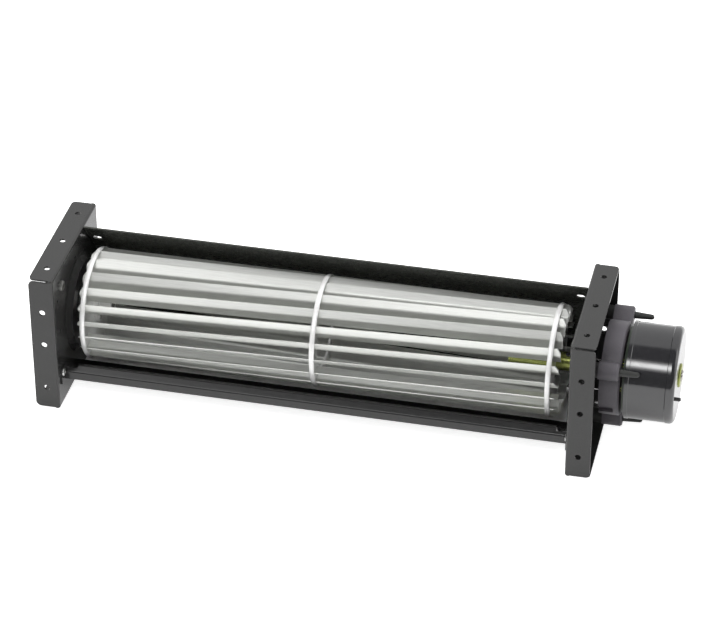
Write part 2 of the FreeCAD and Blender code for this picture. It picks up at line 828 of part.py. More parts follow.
def blade_section(sketch, spare):
    """Bent strip at the top of the drum, with spare added all round for a slot."""
    tip = (as_size(0), blade_tip)
    outer, inner = s.blade_lean, s.blade_inner_lean
    half_turn = (outer - inner) / 2
    setback = s.blade_bend * sine(half_turn) / cosine(half_turn)
    corner = along_strip(tip, outer, s.blade_outer, 0)
    bend_start = along_strip(corner, outer, -setback, 0)
    bend_end = along_strip(corner, inner, setback, 0)
    centre = along_strip(bend_start, outer, 0, s.blade_bend)
    half = s.blade_sheet / 2 + spare
    draw(sketch, [along_strip(tip, outer, -spare, half), along_strip(tip, outer, -spare, -half),
                  along_strip(bend_start, outer, 0, -half), along_strip(bend_end, inner, 0, -half),
                  along_strip(corner, inner, s.blade_inner + spare, -half),
                  along_strip(corner, inner, s.blade_inner + spare, half),
                  along_strip(bend_end, inner, 0, half), along_strip(bend_start, outer, 0, half)],
         {2: (s.blade_bend + half, centre), 6: (s.blade_bend - half, centre)})
    return sketch


def blade(number):
    """Strip laid through the three discs, skewed from end to end."""
    turn = s.blade_phase + 360 / s.blade_count * number
    body = axis_body(f"blade_{number + 1:02d}", middle_disc_x, turn)
    left = left_disc_x - s.blade_overhang_left - middle_disc_x
    right = right_disc_x + s.blade_overhang_right - middle_disc_x
    sections = [blade_section(new_sketch(body, "YZ_Plane", lift=lift, tilt=-twist_rate * lift,
                                         about=Vector(0, 0, 1)), as_size(0))
                for lift in (left, as_size(0), right)]
    strip = body.newObject("PartDesign::AdditiveLoft", f"{body.Name}_loft")
    strip.Profile = (sections[0], [""])
    strip.Sections = [(section, [""]) for section in sections[1:]]
    strip.Ruled = True
    # The ends are cut at a slant, back from the tip
    slant = new_sketch(body, "XY_Plane")
    for end, step in ((left, -s.blade_slant), (right, s.blade_slant)):
        draw(slant, [(end - step, s.rotor_radius), (end + step, s.rotor_radius),
                     (end + step, s.rotor_radius - s.blade_slant * 2)])
    groove(body, slant)
    return body


def disc(label, x, hole, rivet_holes):
    """Thin disc with a rolled rim, and a slot for each blade."""
    rim = s.rotor_radius - s.ring_height
    half, wide = s.disc_sheet / 2, s.ring_width / 2
    rim_radius = (wide * wide + s.ring_height * s.ring_height) / (s.ring_height * 2)
    centre = (0, s.rotor_radius - rim_radius)
    body = turned(label, x, [(-half, hole), (-half, rim), (-wide, rim), (0, s.rotor_radius), (wide, rim),
                             (half, rim), (half, hole)],
                  {2: (rim_radius, centre), 3: (rim_radius, centre)}, turn=drum_turn(x))
    slot = drill(body, blade_section(new_sketch(body, "YZ_Plane"), s.slot_clearance))
    polar(body, [slot], s.blade_count)
    if rivet_holes:
        plan = circle(new_sketch(body, "YZ_Plane"), 0, s.hub_rivet_circle,
                      s.hub_rivet_radius + s.hole_clearance)
        polar(body, [drill(body, plan)], s.hub_rivet_count)
    return body


def hub(label, disc_x, inward, outward, side):
    """Turned hub: its flange lies on the disc's inner face, and its sleeve grips the shaft."""
    face = s.disc_sheet / 2
    bore = s.shaft_radius + s.press_clearance
    edge = s.turned_edge
    points = [(outward + face, bore), (outward + face, s.hub_radius - edge),
              (outward + face - edge, s.hub_radius), (-face, s.hub_radius), (-face, s.hub_flange),
              (-face - s.hub_flange_sheet, s.hub_flange), (-face - s.hub_flange_sheet, s.hub_radius),
              (-face - inward, s.hub_radius), (-face - inward, bore)]
    body = turned(label, disc_x, [(x * side, radius) for x, radius in points], turn=drum_turn(disc_x))
    plan = circle(new_sketch(body, "YZ_Plane", lift=-face * side), 0, s.hub_rivet_circle,
                  s.hub_rivet_radius + s.hole_clearance)
    hole = pocket(body, plan, s.hub_flange_sheet * 2, both=True)
    polar(body, [hole], s.hub_rivet_count)
    return body


def hub_rivets(label, disc_x, side):
    body = axis_body(label, disc_x, drum_turn(disc_x))
    face = s.disc_sheet / 2
    low = -face - s.hub_flange_sheet

    def discs(lift, radius, height):
        plan = circle(new_sketch(body, "YZ_Plane", lift=lift * side), 0, s.hub_rivet_circle, radius)
        return pad(body, plan, height, back=side < 0)

    pieces = [discs(low, s.hub_rivet_radius, face - low),
              discs(face, s.hub_rivet_head, s.hub_rivet_height),
              discs(low - s.hub_rivet_height, s.hub_rivet_head, s.hub_rivet_height)]
    polar(body, pieces, s.hub_rivet_count)
    return body


grub_x = right_disc_x + s.disc_sheet / 2 + s.right_hub_outward - s.grub_inset


def right_hub():
    body = hub("hub_right", right_disc_x, s.right_hub_inward, s.right_hub_outward, 1)
    plan = new_sketch(body, "XY_Plane")
    circle(plan, grub_x - right_disc_x, 0, s.grub_radius + s.hole_clearance)
    pocket(body, plan, s.hub_radius * 2, back=True)
    return body


def grub_screw():
    """Socket set screw in the hub's sleeve, a little below its surface."""
    body = axis_body("grub_screw", grub_x, drum_turn(right_disc_x))
    plan = circle(new_sketch(body, "XY_Plane", lift=s.shaft_radius + s.hole_clearance), 0, 0, s.grub_radius)
    length = s.hub_radius - s.shaft_radius - s.hole_clearance
    pad(body, plan, length)
    socket = new_sketch(body, "XY_Plane", lift=s.hub_radius)
    draw(socket, [(s.grub_drive * cosine(60 * i), s.grub_drive * sine(60 * i)) for i in range(6)])
    pocket(body, socket, length / 2)
    return body


def stub_shaft():
    start = bush_end_x - s.bush_length - s.stub_past_bush
    length = left_disc_x + s.disc_sheet / 2 + s.left_hub_inward - start
    edge = s.turned_edge
    return turned("stub_shaft", start,
                  [(0, 0), (0, s.shaft_radius - edge), (edge, s.shaft_radius), (length, s.shaft_radius),
                   (length, 0)])


# Motor, with its places along the axis measured from the carrier's motor side

inner_bearing_x = motor_face_x - s.tube_back + s.axial_clearance
outer_bearing_x = motor_face_x + s.tube_front - s.axial_clearance - s.motor_bearing_length
clip_x = motor_face_x - s.tube_back - s.clip_sheet


def motor_shaft():
    start = right_disc_x - s.disc_sheet / 2 - s.right_hub_inward + s.hub_flange_sheet
    length = can_end_x + s.boss_height + s.shaft_tip - start
    groove = clip_x - start
    deep = s.shaft_radius - s.clip_groove
    edge = s.turned_edge
    return turned("motor_shaft", start,
                  [(0, 0), (0, s.shaft_radius), (groove, s.shaft_radius), (groove, deep),
                   (groove + s.clip_sheet, deep), (groove + s.clip_sheet, s.shaft_radius),
                   (length - edge, s.shaft_radius), (length, s.shaft_radius - edge), (length, 0)])


def shaft_clip():
    body = axis_body("shaft_clip", clip_x)
    plan = new_sketch(body, "YZ_Plane")
    circle(plan, 0, 0, s.clip_radius)
    circle(plan, 0, 0, s.shaft_radius - s.clip_groove + s.hole_clearance)
    pad(body, plan, s.clip_sheet)
    gap = draw(new_sketch(body, "YZ_Plane"),
               rectangle(-s.clip_opening, -s.clip_radius * 2, s.clip_opening, 0))
    drill(body, gap)
    return body


def motor_bracket():
    body = axis_body("motor_bracket", carrier_x, s.lobe_phase - 90)
    pad(body, circle(new_sketch(body, "YZ_Plane"), 0, 0, carrier_radius), s.carrier_depth)
    lobe = new_sketch(body, "YZ_Plane")
    peak = lobe_circle + s.lobe_radius
    centre = (0, lobe_circle)
    draw(lobe, [(-s.lobe_radius, carrier_radius / 2), (s.lobe_radius, carrier_radius / 2),
                (s.lobe_radius, lobe_circle), (0, peak), (-s.lobe_radius, lobe_circle)],
         {2: (s.lobe_radius, centre), 3: (s.lobe_radius, centre)})
    polar(body, [pad(body, lobe, s.carrier_depth)], s.lobe_count)
    rim_x = s.carrier_depth.value
    soften(body, "Chamfer", s.carrier_edge, lambda edge: all(near(v.X, rim_x) for v in edge.Vertexes)
           and near(edge.BoundBox.XLength, 0))
    # Dished towards the plate, with a boss for the bearing tube and ribs out to the rim
    recess = circle(new_sketch(body, "YZ_Plane"), 0, 0, carrier_radius - s.carrier_wall)
    pocket(body, recess, s.carrier_depth - s.carrier_floor, back=True)
    floor_x = s.carrier_depth - s.carrier_floor
    boss = circle(new_sketch(body, "YZ_Plane", lift=floor_x), 0, 0, s.carrier_boss)
    pad(body, boss, s.carrier_boss_height, back=True)
    rib = draw(new_sketch(body, "YZ_Plane", lift=floor_x),
               rectangle(-s.rib_sheet / 2, s.carrier_boss - s.root_overlap, s.rib_sheet / 2,
                         carrier_radius - s.carrier_wall / 2))
    polar(body, [pad(body, rib, s.rib_height, back=True)], s.rib_count)
    spacer = circle(new_sketch(body, "YZ_Plane", lift=s.carrier_depth), 0, spacer_circle, s.spacer_radius)
    polar(body, [pad(body, spacer, s.board_lift)], s.lobe_count)
    plan = circle(new_sketch(body, "YZ_Plane"), 0, 0, s.tube_radius + s.hole_clearance)
    drill(body, plan)
    bores = new_sketch(body, "YZ_Plane")
    circle(bores, 0, lobe_circle, s.isolator_shank + s.rubber_clearance)
    circle(bores, 0, s.motor_screw_circle, s.motor_screw_radius + s.hole_clearance)
    polar(body, [drill(body, bores)], s.lobe_count)
    # Open notch in the rim where the supply lead would pass
    notch = draw(new_sketch(body, "XY_Plane", lift=-carrier_radius),
                 rectangle(-s.lobe_radius, -s.cable_notch / 2, floor_x, s.cable_notch / 2))
    pocket(body, notch, s.carrier_wall * 2, both=True)
    return body


def isolator(label, number):
    """Rubber mount pulled through the plate and the carrier: head, neck, post, shank and tail."""
    y, z = around_axis(lobe_circle, s.lobe_phase + lobe_pitch * number)
    body = new_body(label, half_gap, y, z)
    face = s.carrier_gap + s.carrier_depth
    end = face + s.isolator_tail_length
    round_start = end - s.isolator_tip
    edge = s.rubber_edge
    points = [(-s.isolator_head_sheet, 0), (-s.isolator_head_sheet, s.isolator_head - edge),
              (edge - s.isolator_head_sheet, s.isolator_head), (0, s.isolator_head), (0, s.isolator_neck),
              (s.plate_sheet, s.isolator_neck), (s.plate_sheet, s.post_radius),
              (s.carrier_gap, s.post_radius), (s.carrier_gap, s.isolator_shank), (face, s.isolator_shank),
              (face, s.isolator_tail), (round_start, s.isolator_tip), (end, 0)]
    tip_arc = {len(points) - 2: (s.isolator_tip, (round_start, 0))}
    revolve(body, draw(new_sketch(body, "XY_Plane"), points, tip_arc))
    return body


def bearing_tube():
    seat = s.motor_bearing_length + s.axial_clearance
    low, high = -s.tube_back, s.tube_front
    outside = s.tube_radius
    points = [(low, s.tube_seat), (low, outside), (0, outside), (0, s.tube_flange),
              (s.tube_flange_sheet, s.tube_flange), (s.tube_flange_sheet, outside), (high, outside),
              (high, s.tube_seat), (high - seat, s.tube_seat), (high - seat, s.tube_land),
              (low + seat, s.tube_land), (low + seat, s.tube_seat)]
    body = turned("bearing_tube", motor_face_x, points, turn=s.lobe_phase - 90)
    plan = circle(new_sketch(body, "YZ_Plane"), 0, s.motor_screw_circle,
                  s.motor_screw_radius + s.hole_clearance)
    polar(body, [drill(body, plan)], s.lobe_count)
    return body


def motor_bearing(label, x):
    """Shielded ball bearing, closed on both faces by shields set a little below the rings."""
    bore = s.shaft_radius + s.running_clearance
    outside = s.tube_seat - s.press_clearance
    wall = (outside - bore) / 3
    length, recess = s.motor_bearing_length, s.shield_recess
    points = [(0, bore), (0, bore + wall), (recess, bore + wall), (recess, outside - wall),
              (0, outside - wall), (0, outside), (length, outside), (length, outside - wall),
              (length - recess, outside - wall), (length - recess, bore + wall), (length, bore + wall),
              (length, bore)]
    return turned(label, x, points)


def motor_screws():
    body = axis_body("motor_screws", motor_face_x + s.tube_flange_sheet, s.lobe_phase - 90)

    def disc_at(radius, height, back):
        plan = circle(new_sketch(body, "YZ_Plane"), 0, s.motor_screw_circle, radius)
        return pad(body, plan, height, back=back)

    pieces = [disc_at(s.motor_screw_radius, s.motor_screw_length, True),
              disc_at(s.motor_screw_head, s.motor_screw_head_height, False)]
    polar(body, pieces, s.lobe_count)
    return body


def stator_core():
    body = axis_body("stator_core", motor_face_x + s.stack_start)
    ring = new_sketch(body, "YZ_Plane")
    circle(ring, 0, 0, s.stack_hub)
    circle(ring, 0, 0, s.tube_radius + s.hole_clearance)
    pad(body, ring, s.stack_length)
    tip_y, tip_z = stator_radius * sine(s.tip_half_angle), stator_radius * cosine(s.tip_half_angle)
    under = stator_radius - s.tip_depth
    half, foot = s.tooth_half, s.stack_hub - s.root_overlap
    tooth = draw(new_sketch(body, "YZ_Plane"),
                 [(-half, foot), (half, foot), (half, under), (tip_y, under),
                  (tip_y, tip_z), (-tip_y, tip_z), (-tip_y, under), (-half, under)],
                 {4: (stator_radius, (0, 0))})
    polar(body, [pad(body, tooth, s.stack_length)], s.tooth_count)
    return body


def stator_coils():
    """One wound coil round each tooth, each a solid of its own."""
    body = axis_body("stator_coils", motor_face_x + s.stack_start + s.stack_length / 2)
    half_long = s.stack_length / 2 + s.coil_clearance
    half_wide = s.tooth_half + s.coil_clearance
    ring = new_sketch(body, "XY_Plane", lift=s.stack_hub + s.coil_clearance)
    draw(ring, rectangle(-half_long - s.coil_wall, -half_wide - s.coil_wall,
                         half_long + s.coil_wall, half_wide + s.coil_wall))
    draw(ring, rectangle(-half_long, -half_wide, half_long, half_wide))
    height = stator_radius - s.tip_depth - s.stack_hub - s.coil_clearance * 2
    coil = pad(body, ring, height)
    polar(body, [coil], s.tooth_count)
    return body


def circuit_board():
    body = axis_body("circuit_board", motor_face_x + s.board_lift)
    plan = new_sketch(body, "YZ_Plane")
    circle(plan, 0, 0, board_radius)
    circle(plan, 0, 0, s.board_hole)
    pad(body, plan, s.board_sheet)
    return body


def magnet_ring():
    outside = can_inside - s.glue_gap
    return turned("magnet_ring", can_x + s.magnet_start,
                  rectangle(0, outside - s.magnet_wall, s.magnet_length, outside))


def rotor_can():
    """Deep drawn cup, open towards the carrier, with a raised bead at both ends."""
    body_radius = s.can_radius - s.can_bead
    ramp = s.can_bead
    length, corner = s.can_length, s.can_corner
    far_bead = length - corner - s.can_bead_width
    end_inside = length - s.can_wall
    hole = s.boss_sleeve + s.hole_clearance
    inner_corner = corner - s.can_wall
    points = [(0, can_inside), (0, s.can_radius), (s.can_bead_width, s.can_radius),
              (s.can_bead_width + ramp, body_radius), (far_bead - ramp, body_radius),
              (far_bead, s.can_radius), (length - corner, s.can_radius), (length, s.can_radius - corner),
              (length, hole), (end_inside, hole), (end_inside, can_inside - inner_corner),
              (end_inside - inner_corner, can_inside)]
    arcs = {6: (corner, (length - corner, s.can_radius - corner)),
            10: (inner_corner, (end_inside - inner_corner, can_inside - inner_corner))}
    body = turned("rotor_can", can_x, points, arcs)
    y, z = s.pin_circle * cosine(s.pin_turn), s.pin_circle * sine(s.pin_turn)
    plan = circle(new_sketch(body, "YZ_Plane", lift=s.can_length), y, z, s.pin_radius + s.hole_clearance)
    pocket(body, plan, s.can_wall * 2)
    return body


def can_boss():
    """Brass boss in the end of the can that grips the shaft."""
    bore = s.shaft_radius + s.press_clearance
    edge = s.turned_edge
    return turned("can_boss", can_end_x,
                  [(-s.can_wall - s.boss_inward, bore), (-s.can_wall - s.boss_inward, s.boss_sleeve),
                   (0, s.boss_sleeve), (0, s.boss_radius), (s.boss_height - edge, s.boss_radius),
                   (s.boss_height, s.boss_radius - edge), (s.boss_height, bore)])


def balance_pin():
    y, z = around_axis(s.pin_circle, s.pin_turn)
    body = new_body("balance_pin", can_end_x, y, z)
    inside = -s.can_wall
    edge = s.pin_edge
    revolve(body, draw(new_sketch(body, "XY_Plane"),
                       [(inside - s.pin_head_height, 0), (inside - s.pin_head_height, s.pin_head),
                        (inside, s.pin_head), (inside, s.pin_radius), (s.pin_height - edge, s.pin_radius),
                        (s.pin_height, s.pin_radius - edge), (s.pin_height, 0)]))
    return body


bodies = [
    left_end_plate(),
    right_end_plate(),
    rear_wall(),
    tongue(),
    sheet_rivets("sheet_rivets_left", -1),
    sheet_rivets("sheet_rivets_right", 1),
    earth_screw(),
    earth_nut(),
    bearing_rubber(),
    left_bearing(),
    motor_bracket(),
    isolator("isolator_back", 0),
    isolator("isolator_front", 1),
    isolator("isolator_bottom", 2),
    bearing_tube(),
    motor_bearing("motor_bearing_inner", inner_bearing_x),
    motor_bearing("motor_bearing_outer", outer_bearing_x),
    motor_screws(),
    stator_core(),
    stator_coils(),
    circuit_board(),
]
bodies += [blade(number) for number in range(int(s.blade_count.value))]
bodies += [
    disc("disc_left", left_disc_x, s.hub_radius + s.press_clearance, True),
    disc("disc_middle", middle_disc_x, s.middle_disc_hole, False),
    disc("disc_right", right_disc_x, s.hub_radius + s.press_clearance, True),
    hub("hub_left", left_disc_x, s.left_hub_inward, s.left_hub_outward, -1),
    right_hub(),
    hub_rivets("hub_rivets_left", left_disc_x, -1),
    hub_rivets("hub_rivets_right", right_disc_x, 1),
    grub_screw(),
    stub_shaft(),
    thrust_washer(),
    motor_shaft(),
    shaft_clip(),
    rotor_can(),
    magnet_ring(),
    can_boss(),
    balance_pin(),
]
doc.recompute()

for item in doc.Objects:
    if {"Invalid", "Error"} & set(item.State):
        raise RuntimeError(f"{item.Name} failed: {item.State}")
for body in bodies:
    if body.Shape.isNull() or not body.Shape.isValid() or not body.Shape.Solids:
        raise RuntimeError(f"{body.Label} has no sound shape")

os.makedirs("parts", exist_ok=True)
for body in bodies:
    body.Shape.exportStep(f"parts/{body.Label}.step")
    print(body.Label, len(body.Shape.Solids), round(body.Shape.Volume, 1))
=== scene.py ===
import bmesh
import bpy
import math
from mathutils import Matrix, Vector


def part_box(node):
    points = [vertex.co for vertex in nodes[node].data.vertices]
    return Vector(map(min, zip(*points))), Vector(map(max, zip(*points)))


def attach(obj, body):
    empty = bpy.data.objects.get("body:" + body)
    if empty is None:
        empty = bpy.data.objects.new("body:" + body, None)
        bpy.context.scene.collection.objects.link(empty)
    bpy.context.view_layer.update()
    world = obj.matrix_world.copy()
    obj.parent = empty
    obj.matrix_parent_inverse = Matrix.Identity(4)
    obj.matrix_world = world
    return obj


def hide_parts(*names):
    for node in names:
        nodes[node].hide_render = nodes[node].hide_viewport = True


# Cross flow fan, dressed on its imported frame. Metres throughout; X runs along the drum.

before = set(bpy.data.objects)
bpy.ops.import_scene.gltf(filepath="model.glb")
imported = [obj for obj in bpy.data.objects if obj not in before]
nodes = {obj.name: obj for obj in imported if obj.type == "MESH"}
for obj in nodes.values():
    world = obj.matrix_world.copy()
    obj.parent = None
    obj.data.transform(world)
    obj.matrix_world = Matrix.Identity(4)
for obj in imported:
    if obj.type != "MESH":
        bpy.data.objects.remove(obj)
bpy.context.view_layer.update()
mm = 0.001
print("frame loaded with", len(nodes), "nodes")


# Camera, floor and light

camera = {
    "place": (0.3067, -1.2943, 0.9435),
    "target": (0.0138, 0.0097, 0.0496),
    "lens": 155.5,
    "sensor": 36.0,
    "clip": (0.05, 30.0),
}
studio = {
    "floorSize": 8.0,
    "floorDrop": 0.0002,
    "floorColour": (0.82, 0.82, 0.82, 1.0),
    "floorGlow": 0.84,
    "floorMirrored": 0.42,
    "paintedShadeMiddle": (0.0, 0.020),  # the floor's glow is cut out under the back of the fan, a painted shade patch there
    "paintedShadeReach": (0.150, 0.026),
    "paintedShadeEdge": 0.012,
    "roomFill": 0.32,
    "backGlow": 0.88,
    "frontGloom": 0.15,
    "backEdge": (0.02, 0.16),
    "lampTarget": (0.0, 0.0, 0.04),
}
lampList = [
    {"name": "drumSoftbox", "place": (-0.56, -1.10, 1.22), "size": (0.8, 0.9), "watts": 4.6},
    {"name": "canSoftbox", "place": (0.07, -1.125, 1.265), "size": (0.24, 0.26), "watts": 1.12},
    {"name": "canInnerHalo", "place": (0.07, -1.136, 1.277), "size": (0.24, 0.46), "watts": 1.02},
    {"name": "canOuterHalo", "place": (0.07, -1.147, 1.290), "size": (0.24, 0.70), "watts": 0.60},
    {"name": "frontFill", "place": (-0.2, -1.12, 1.22), "size": (0.9, 0.6), "watts": 4.5,
     "mirrored": False},
    {"name": "overheadFill", "place": (0.0, 0.15, 1.40), "size": (1.2, 0.7), "watts": 15.0,
     "mirrored": False},
    {"name": "endCard", "place": (1.5, 0.1, 0.55), "size": (0.9, 0.9), "watts": 3.0},
]


def aimed(place, target):
    # rotation that looks from one place to another with Z up
    return (Vector(target) - Vector(place)).to_track_quat("-Z", "Y").to_euler()


def newObject(name, data):
    item = bpy.data.objects.new(name, data)
    bpy.context.scene.collection.objects.link(item)
    return item


def makeCamera():
    data = bpy.data.cameras.new("studioCamera")
    data.sensor_width, data.lens = camera["sensor"], camera["lens"]
    data.clip_start, data.clip_end = camera["clip"]
    item = newObject("studioCamera", data)
    item.location = camera["place"]
    item.rotation_euler = aimed(camera["place"], camera["target"])
    bpy.context.scene.camera = item


def makeLamps():
    for lamp in lampList:
        data = bpy.data.lights.new(lamp["name"], "AREA")
        data.shape = "RECTANGLE"
        data.size, data.size_y = lamp["size"]
        data.energy = lamp["watts"]
        item = newObject(lamp["name"], data)
        item.location = lamp["place"]
        item.rotation_euler = aimed(lamp["place"], studio["lampTarget"])
        item.visible_glossy = lamp.get("mirrored", True)


def mathNode(tree, operation, *given):
    # a Math node, with each input given as another node's output or as a number
    node = tree.nodes.new("ShaderNodeMath")
    node.operation = operation
    for entry, value in zip(node.inputs, given):
        if isinstance(value, bpy.types.NodeSocket):
            tree.links.new(value, entry)
        else:
            entry.default_value = value
    return node.outputs[0]


def shownRay(tree):
    # 1 for camera, glossy and transmission rays, which see the white studio
    path = tree.nodes.new("ShaderNodeLightPath")
    direct = mathNode(tree, "MAXIMUM", path.outputs["Is Camera Ray"], path.outputs["Is Glossy Ray"])
    return mathNode(tree, "MAXIMUM", direct, path.outputs["Is Transmission Ray"])


def makeWorld():
    world = bpy.data.worlds.new("studioRoom")
    bpy.context.scene.world = world
    world.use_nodes = True
    tree = world.node_tree
    tree.nodes.clear()
    out = tree.nodes.new("ShaderNodeOutputWorld")
    path = tree.nodes.new("ShaderNodeLightPath")
    fill, seen, room = [tree.nodes.new("ShaderNodeBackground") for _ in range(3)]
    for part in (fill, seen, room):
        part.inputs["Color"].default_value = (1.0, 1.0, 1.0, 1.0)
    fill.inputs["Strength"].default_value = studio["roomFill"]
    seen.inputs["Strength"].default_value = 1.0
    # The back of the room is a white sweep, and the ceiling and the front are dimmer
    place = tree.nodes.new("ShaderNodeTexCoord")
    parts = tree.nodes.new("ShaderNodeSeparateXYZ")
    tree.links.new(place.outputs["Generated"], parts.inputs[0])
    spread = tree.nodes.new("ShaderNodeMapRange")
    spread.interpolation_type = "SMOOTHSTEP"
    spread.inputs["From Min"].default_value, spread.inputs["From Max"].default_value = studio["backEdge"]
    spread.inputs["To Min"].default_value = studio["frontGloom"]
    spread.inputs["To Max"].default_value = studio["backGlow"]
    tree.links.new(parts.outputs["Y"], spread.inputs["Value"])
    tree.links.new(spread.outputs["Result"], room.inputs["Strength"])
    glossy = tree.nodes.new("ShaderNodeMixShader")
    tree.links.new(shownRay(tree), glossy.inputs["Fac"])
    tree.links.new(fill.outputs[0], glossy.inputs[1])
    tree.links.new(room.outputs[0], glossy.inputs[2])
    final = tree.nodes.new("ShaderNodeMixShader")
    tree.links.new(path.outputs["Is Camera Ray"], final.inputs["Fac"])
    tree.links.new(glossy.outputs[0], final.inputs[1])
    tree.links.new(seen.outputs[0], final.inputs[2])
    tree.links.new(final.outputs[0], out.inputs["Surface"])


def outsidePaintedShade(tree):
    # 0 under the fan and 1 around it, with a soft edge; where it is 0 the floor's glow is cut out, a painted
    # shade under the fan
    place = tree.nodes.new("ShaderNodeTexCoord")
    parts = tree.nodes.new("ShaderNodeSeparateXYZ")
    tree.links.new(place.outputs["Object"], parts.inputs[0])
    outside = []
    for axis, middle, reach in zip("XY", studio["paintedShadeMiddle"], studio["paintedShadeReach"]):
        far = mathNode(tree, "ABSOLUTE", mathNode(tree, "SUBTRACT", parts.outputs[axis], middle))
        step = tree.nodes.new("ShaderNodeMapRange")
        step.interpolation_type = "SMOOTHSTEP"
        step.inputs["From Min"].default_value = reach - studio["paintedShadeEdge"]
        step.inputs["From Max"].default_value = reach
        tree.links.new(far, step.inputs["Value"])
        outside.append(step.outputs["Result"])
    return mathNode(tree, "MAXIMUM", *outside)


def makeFloor():
    shape = bmesh.new()
    bmesh.ops.create_grid(shape, x_segments=1, y_segments=1, size=studio["floorSize"] / 2)
    bmesh.ops.translate(shape, verts=shape.verts, vec=(0, 0, -studio["floorDrop"]))
    mesh = bpy.data.meshes.new("studioFloor")
    shape.to_mesh(mesh)
    shape.free()
    floor = newObject("studioFloor", mesh)
    material = bpy.data.materials.new("floorPaper")
    material.use_nodes = True
    tree = material.node_tree
    tree.nodes.clear()
    out = tree.nodes.new("ShaderNodeOutputMaterial")
    paper = tree.nodes.new("ShaderNodeBsdfDiffuse")
    paper.inputs["Color"].default_value = studio["floorColour"]
    glow = tree.nodes.new("ShaderNodeEmission")
    seen = tree.nodes.new("ShaderNodeLightPath")
    level = tree.nodes.new("ShaderNodeMapRange")
    level.inputs["To Min"].default_value = studio["floorMirrored"]
    level.inputs["To Max"].default_value = studio["floorGlow"]
    tree.links.new(seen.outputs["Is Camera Ray"], level.inputs["Value"])
    shown = mathNode(tree, "MULTIPLY", shownRay(tree), level.outputs["Result"])
    # the glow is cut out in a box under the fan: painted shade on the floor
    openFloor = mathNode(tree, "MULTIPLY", shown, outsidePaintedShade(tree))
    tree.links.new(openFloor, glow.inputs["Strength"])
    both = tree.nodes.new("ShaderNodeAddShader")
    tree.links.new(paper.outputs[0], both.inputs[0])
    tree.links.new(glow.outputs[0], both.inputs[1])
    tree.links.new(both.outputs[0], out.inputs["Surface"])
    mesh.materials.append(material)


makeCamera()
makeLamps()
makeWorld()
makeFloor()
bpy.context.scene.view_settings.view_transform = "Standard"
print("studio ready")


# Shared surface effects

def socket(tree, label, way, kind, start=None):
    item = tree.interface.new_socket(name=label, in_out=way, socket_type="NodeSocket" + kind)
    if start is not None:
        item.default_value = start
    return item


grainNoise = {"roughness": 0.6, "darkEnd": 0.3, "lightEnd": 0.7}


def makeGrain():
    # fine variation of colour, gloss and height, stretched as the finish asks
    group = bpy.data.node_groups.new("finishGrain", "ShaderNodeTree")
    socket(group, "Vector", "INPUT", "Vector")
    socket(group, "Stretch", "INPUT", "Vector", (1000.0, 1000.0, 1000.0))
    socket(group, "Detail", "INPUT", "Float", 3.0)
    socket(group, "Dark Colour", "INPUT", "Color")
    socket(group, "Light Colour", "INPUT", "Color")
    socket(group, "Low Roughness", "INPUT", "Float", 0.3)
    socket(group, "High Roughness", "INPUT", "Float", 0.5)
    socket(group, "Depth", "INPUT", "Float", 0.00001)
    socket(group, "Colour", "OUTPUT", "Color")
    socket(group, "Roughness", "OUTPUT", "Float")
    socket(group, "Normal", "OUTPUT", "Vector")
    given = group.nodes.new("NodeGroupInput")
    result = group.nodes.new("NodeGroupOutput")
    scaled = group.nodes.new("ShaderNodeVectorMath")
    scaled.operation = "MULTIPLY"
    group.links.new(given.outputs["Vector"], scaled.inputs[0])
    group.links.new(given.outputs["Stretch"], scaled.inputs[1])
    noise = group.nodes.new("ShaderNodeTexNoise")
    noise.inputs["Scale"].default_value = 1.0
    noise.inputs["Roughness"].default_value = grainNoise["roughness"]
    group.links.new(scaled.outputs[0], noise.inputs["Vector"])
    group.links.new(given.outputs["Detail"], noise.inputs["Detail"])
    mask = group.nodes.new("ShaderNodeMapRange")
    mask.inputs["From Min"].default_value = grainNoise["darkEnd"]
    mask.inputs["From Max"].default_value = grainNoise["lightEnd"]
    group.links.new(noise.outputs["Fac"], mask.inputs["Value"])
    tint = group.nodes.new("ShaderNodeMix")
    tint.data_type = "RGBA"
    group.links.new(mask.outputs["Result"], tint.inputs["Factor"])
    group.links.new(given.outputs["Dark Colour"], tint.inputs[6])
    group.links.new(given.outputs["Light Colour"], tint.inputs[7])
    gloss = group.nodes.new("ShaderNodeMapRange")
    group.links.new(mask.outputs["Result"], gloss.inputs["Value"])
    group.links.new(given.outputs["Low Roughness"], gloss.inputs["To Min"])
    group.links.new(given.outputs["High Roughness"], gloss.inputs["To Max"])
    bump = group.nodes.new("ShaderNodeBump")
    bump.inputs["Strength"].default_value = 1.0
    group.links.new(given.outputs["Depth"], bump.inputs["Distance"])
    group.links.new(mask.outputs["Result"], bump.inputs["Height"])
    group.links.new(tint.outputs[2], result.inputs["Colour"])
    group.links.new(gloss.outputs["Result"], result.inputs["Roughness"])
    group.links.new(bump.outputs["Normal"], result.inputs["Normal"])
    return group


